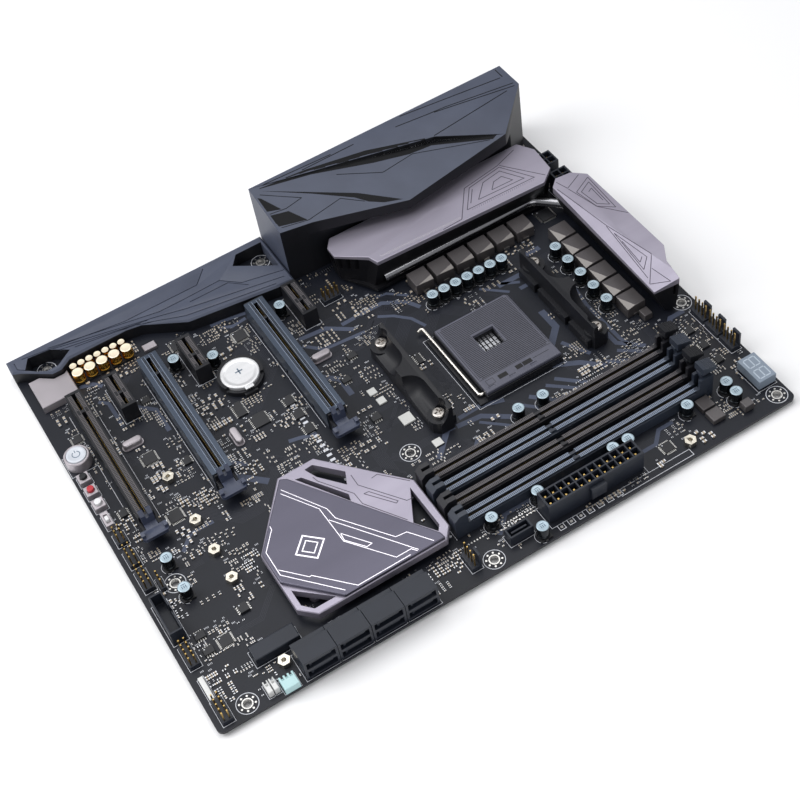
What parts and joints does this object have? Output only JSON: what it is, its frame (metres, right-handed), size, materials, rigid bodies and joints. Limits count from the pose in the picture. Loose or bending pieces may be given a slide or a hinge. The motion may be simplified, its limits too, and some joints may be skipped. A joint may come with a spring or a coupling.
{
  "type": "computer motherboard",
  "caption": "Full-size desktop computer board with a pin-grid processor socket, memory slots, expansion slots, finned heatsinks and a faceted cover over the rear ports.",
  "frame": {"origin": "middle of the whole board in plan, at the height of the lowest connector pegs", "axes": "+X along the long side towards the processor end, +Y towards the edge with the rear ports, +Z away from the component side"},
  "size_m": [0.3048, 0.2458, 0.0449],
  "materials": {
    "board_laminate": "satin black solder mask over glass laminate",
    "black_steel": "black coated steel",
    "socket_plastic": "dark grey moulded",
    "bright_steel": "plated steel",
    "slot_steel": "blue-grey plated steel sheet",
    "nickel_plate": "nickel plated copper",
    "black_aluminium": "black anodised",
    "lilac_aluminium": "brushed and anodised, lilac grey",
    "chip_epoxy": "moulded epoxy",
    "thermal_pad": "soft silicone pad",
    "choke_ferrite": "pressed ferrite powder",
    "cover_paint": "matte slate grey moulded",
    "port_steel": "tin plated steel",
    "black_plastic": "satin moulded",
    "grey_plastic": "blue-grey moulded",
    "brass_pins": "gold flashed",
    "brass_nickel": "nickel plated",
    "display_plastic": "pale translucent face",
    "capacitor_can": "bright can",
    "gold_can": "gold anodised can",
    "battery_steel": "stainless steel",
    "button_plastic": "smoky translucent cap",
    "red_plastic": "red moulded",
    "white_plastic": "white moulded"
  },
  "bodies": {
    "board": {"audio_capacitors": "gold_can", "audio_cover": "cover_paint", "audio_jacks": "black_plastic", "battery": "battery_steel", "battery_holder": "black_plastic", "bracket_screws": "bright_steel", "chips": "chip_epoxy", "chipset": "chip_epoxy", "chipset_heatsink_base": "black_aluminium", "chipset_heatsink_plate": "lilac_aluminium", "chokes": "choke_ferrite", "circuit_board": "board_laminate", "cooler_bracket_left": "black_plastic", "cooler_bracket_right": "black_plastic", "cpu_backplate": "black_steel", "cpu_socket_base": "socket_plastic", "dimm_slot_1": "black_plastic", "dimm_slot_2": "grey_plastic", "dimm_slot_3": "black_plastic", "dimm_slot_4": "grey_plastic", "front_usb_headers": "black_plastic", "header_pins": "brass_pins", "heatpipe": "nickel_plate", "io_cover": "cover_paint", "lan_port": "port_steel", "led_display": "display_plastic", "m2_socket": "black_plastic", "metal_cans": "port_steel", "mosfets": "chip_epoxy", "pcie_shields": "slot_steel", "pcie_x16_slot_1": "black_plastic", "pcie_x16_slot_2": "black_plastic", "pcie_x16_slot_3": "black_plastic", "pcie_x1_slots": "black_plastic", "pin_headers": "black_plastic", "polymer_capacitors": "capacitor_can", "power_sockets": "black_plastic", "sata_ports": "black_plastic", "standoffs": "brass_nickel", "switch_housings": "black_plastic", "thermal_pads": "thermal_pad", "usb_stacks": "port_steel", "vrm_heatsink_rear": "black_aluminium", "vrm_heatsink_side": "black_aluminium", "vrm_plate_rear": "lilac_aluminium", "vrm_plate_side": "lilac_aluminium"},
    "socket_lever": {"cpu_socket_lever": "bright_steel"},
    "socket_cover": {"cpu_socket_cover": "socket_plastic"},
    "start_cap": {"start_button": "button_plastic"},
    "reset_cap": {"reset_button": "black_plastic"},
    "recovery_cap": {"recovery_button": "red_plastic"},
    "memory_cap": {"memory_button": "white_plastic"},
    "mode_knob": {"mode_slider": "white_plastic"},
    "memory_latch_1": {"dimm_latch_1": "black_plastic"},
    "memory_latch_2": {"dimm_latch_2": "grey_plastic"},
    "memory_latch_3": {"dimm_latch_3": "black_plastic"},
    "memory_latch_4": {"dimm_latch_4": "grey_plastic"},
    "card_latch_1": {"pcie_x16_latch_1": "grey_plastic"},
    "card_latch_2": {"pcie_x16_latch_2": "grey_plastic"},
    "card_latch_3": {"pcie_x16_latch_3": "grey_plastic"}
  },
  "joints": [
    {"name": "socket_lever_turn", "type": "hinge", "parent": "board", "child": "socket_lever", "pos_m": [0.054, -0.03618, 0.0066], "axis": [1, 0, 0], "range_deg": [0, 92]},
    {"name": "socket_cover_slide", "type": "slide", "parent": "board", "child": "socket_cover", "axis": [0, 1, 0], "range_m": [0, 0.0012]},
    {"name": "memory_latch_1_tilt", "type": "hinge", "parent": "board", "child": "memory_latch_1", "pos_m": [0.1192, -0.06598, 0.0072], "axis": [0, 1, 0], "range_deg": [0, 28]},
    {"name": "memory_latch_2_tilt", "type": "hinge", "parent": "board", "child": "memory_latch_2", "pos_m": [0.1192, -0.07551, 0.0072], "axis": [0, 1, 0], "range_deg": [0, 28]},
    {"name": "memory_latch_3_tilt", "type": "hinge", "parent": "board", "child": "memory_latch_3", "pos_m": [0.1192, -0.08503, 0.0072], "axis": [0, 1, 0], "range_deg": [0, 28]},
    {"name": "memory_latch_4_tilt", "type": "hinge", "parent": "board", "child": "memory_latch_4", "pos_m": [0.1192, -0.09456, 0.0072], "axis": [0, 1, 0], "range_deg": [0, 28]},
    {"name": "card_latch_1_tilt", "type": "hinge", "parent": "board", "child": "card_latch_1", "pos_m": [-0.03048, -0.01228, 0.008], "axis": [1, 0, 0], "range_deg": [0, 18], "stiffness_Nm_per_rad": 0.004, "springref_deg": -2.86},
    {"name": "card_latch_2_tilt", "type": "hinge", "parent": "board", "child": "card_latch_2", "pos_m": [-0.09144, -0.01228, 0.008], "axis": [1, 0, 0], "range_deg": [0, 18], "stiffness_Nm_per_rad": 0.004, "springref_deg": -2.86},
    {"name": "card_latch_3_tilt", "type": "hinge", "parent": "board", "child": "card_latch_3", "pos_m": [-0.13208, -0.01228, 0.008], "axis": [1, 0, 0], "range_deg": [0, 18], "stiffness_Nm_per_rad": 0.004, "springref_deg": -2.86},
    {"name": "start_press", "type": "slide", "parent": "board", "child": "start_cap", "axis": [0, 0, -1], "range_m": [0, 0.0004], "stiffness_N_per_m": 500, "springref_m": -0.0004},
    {"name": "reset_press", "type": "slide", "parent": "board", "child": "reset_cap", "axis": [0, 0, -1], "range_m": [0, 0.00025], "stiffness_N_per_m": 400, "springref_m": -0.0002},
    {"name": "recovery_press", "type": "slide", "parent": "board", "child": "recovery_cap", "axis": [0, 0, -1], "range_m": [0, 0.00025], "stiffness_N_per_m": 400, "springref_m": -0.0002},
    {"name": "memory_press", "type": "slide", "parent": "board", "child": "memory_cap", "axis": [0, 0, -1], "range_m": [0, 0.00025], "stiffness_N_per_m": 400, "springref_m": -0.0002},
    {"name": "mode_slide", "type": "slide", "parent": "board", "child": "mode_knob", "axis": [0, 1, 0], "range_m": [0, 0.002]}
  ],
  "couplings": [
    {"joint": "socket_cover_slide", "follows": "socket_lever_turn", "m_per_rad": 0.00074}
  ]
}
